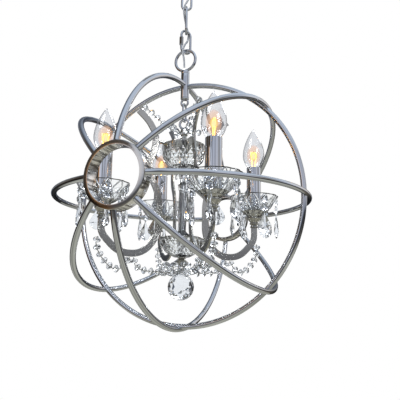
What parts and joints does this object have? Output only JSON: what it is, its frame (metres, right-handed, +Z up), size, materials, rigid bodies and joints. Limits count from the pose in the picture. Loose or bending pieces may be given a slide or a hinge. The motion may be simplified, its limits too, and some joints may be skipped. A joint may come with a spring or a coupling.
{
  "type": "orb chandelier",
  "caption": "Round cage of bent chrome rods hung on a short chain, with a crystal candelabra on a hook inside it.",
  "frame": {"origin": "centre of the ceiling face of the mounting bracket, on the cage's vertical axis", "axes": "+Z up; -Y the front hub ring, which faces the camera's side; +X to its right"},
  "size_m": [0.4054, 0.3986, 0.6529],
  "materials": {
    "polished_chrome": "polished",
    "satin_nickel": "satin",
    "pewter": "satin",
    "bracket_steel": "plated",
    "cord_pvc": "smooth",
    "socket_plastic": "moulded",
    "cut_glass": "cut and polished",
    "crystal": "cut and polished",
    "lamp_glass": "clear"
  },
  "bodies": {
    "ceiling_fitting": {"mounting_bracket": "bracket_steel", "canopy_nipple": "bracket_steel", "canopy_loop": "polished_chrome", "supply_cord": "cord_pvc"},
    "canopy": {"canopy": "satin_nickel"},
    "canopy_collar": {"canopy_collar": "satin_nickel"},
    "upper_link": {"chain_link_upper": "polished_chrome"},
    "lower_link": {"chain_link_lower": "polished_chrome"},
    "quick_link": {"quick_link": "polished_chrome"},
    "quick_link_nut": {"quick_link_nut": "polished_chrome"},
    "cage": {"cage_loop": "polished_chrome", "top_tube": "polished_chrome", "hub_ring_front": "satin_nickel", "hub_ring_rear": "satin_nickel", "cage_hoop": "polished_chrome", "candelabra_hook": "polished_chrome", "rib_top": "polished_chrome", "rib_upper_right": "polished_chrome", "rib_right": "polished_chrome", "rib_lower_right": "polished_chrome", "rib_bottom": "polished_chrome", "rib_lower_left": "polished_chrome", "rib_left": "polished_chrome", "rib_upper_left": "polished_chrome"},
    "inner_link": {"candelabra_link": "polished_chrome"},
    "candelabra": {"neck_cap": "pewter", "column_stem": "bracket_steel", "upper_plate": "pewter", "lower_plate": "pewter", "upper_bowl": "cut_glass", "lower_bowl": "cut_glass", "glass_column": "cut_glass", "glass_knob": "cut_glass", "finial": "pewter", "vase_cups": "pewter", "rosettes": "pewter", "sockets": "socket_plastic", "bead_swags": "crystal", "arm_rear_right": "pewter", "bobeche_rear_right": "cut_glass", "candle_sleeve_rear_right": "polished_chrome", "drops_rear_right": "crystal", "arm_rear_left": "pewter", "bobeche_rear_left": "cut_glass", "candle_sleeve_rear_left": "polished_chrome", "drops_rear_left": "crystal", "arm_front_left": "pewter", "bobeche_front_left": "cut_glass", "candle_sleeve_front_left": "polished_chrome", "drops_front_left": "crystal", "arm_front_right": "pewter", "bobeche_front_right": "cut_glass", "candle_sleeve_front_right": "polished_chrome", "drops_front_right": "crystal"},
    "crystal_ball": {"ball_pin": "polished_chrome", "crystal_ball": "crystal"},
    "lamp_rear_right": {"lamp_rear_right": "lamp_glass"},
    "lamp_rear_left": {"lamp_rear_left": "lamp_glass"},
    "lamp_front_left": {"lamp_front_left": "lamp_glass"},
    "lamp_front_right": {"lamp_front_right": "lamp_glass"}
  },
  "joints": [
    {"name": "collar_unscrew", "type": "slide", "parent": "ceiling_fitting", "child": "canopy_collar", "axis": [0, 0, -1], "range_m": [0, 0.01]},
    {"name": "canopy_lower", "type": "slide", "parent": "ceiling_fitting", "child": "canopy", "axis": [0, 0, -1], "range_m": [0, 0.01]},
    {"name": "upper_link_swing", "type": "hinge", "parent": "ceiling_fitting", "child": "upper_link", "pos_m": [0, 0, -0.0695], "axis": [0.4067, -0.9135, 0], "range_deg": [-25, 25], "deforming": ["supply_cord"]},
    {"name": "lower_link_swing", "type": "hinge", "parent": "upper_link", "child": "lower_link", "pos_m": [0, 0, -0.113], "axis": [0.9135, 0.4067, 0], "range_deg": [-25, 25]},
    {"name": "quick_link_swing", "type": "hinge", "parent": "lower_link", "child": "quick_link", "pos_m": [0, 0, -0.1571], "axis": [0.809, -0.5878, 0], "range_deg": [-20, 20]},
    {"name": "quick_link_nut_turn", "type": "slide", "parent": "quick_link", "child": "quick_link_nut", "axis": [0, 0, 1], "range_m": [0, 0.004]},
    {"name": "cage_swing", "type": "hinge", "parent": "quick_link", "child": "cage", "pos_m": [0, 0, -0.194], "axis": [0, 1, 0], "range_deg": [-15, 15]},
    {"name": "inner_link_swing", "type": "hinge", "parent": "cage", "child": "inner_link", "pos_m": [0, 0, -0.289], "axis": [1, 0, 0], "range_deg": [-6, 6]},
    {"name": "candelabra_swing", "type": "hinge", "parent": "inner_link", "child": "candelabra", "pos_m": [0, 0, -0.316], "axis": [0, 1, 0], "range_deg": [-6, 6]},
    {"name": "ball_swing", "type": "hinge", "parent": "candelabra", "child": "crystal_ball", "pos_m": [0, 0, -0.5591], "axis": [1, 0, 0], "range_deg": [-15, 15]},
    {"name": "lamp_rear_right_unscrew", "type": "slide", "parent": "candelabra", "child": "lamp_rear_right", "axis": [0, 0, 1], "range_m": [0, 0.03]},
    {"name": "lamp_rear_left_unscrew", "type": "slide", "parent": "candelabra", "child": "lamp_rear_left", "axis": [0, 0, 1], "range_m": [0, 0.03]},
    {"name": "lamp_front_left_unscrew", "type": "slide", "parent": "candelabra", "child": "lamp_front_left", "axis": [0, 0, 1], "range_m": [0, 0.03]},
    {"name": "lamp_front_right_unscrew", "type": "slide", "parent": "candelabra", "child": "lamp_front_right", "axis": [0, 0, 1], "range_m": [0, 0.03]}
  ],
  "couplings": [
    {"joint": "canopy_lower", "follows": "collar_unscrew", "ratio": 1}
  ]
}
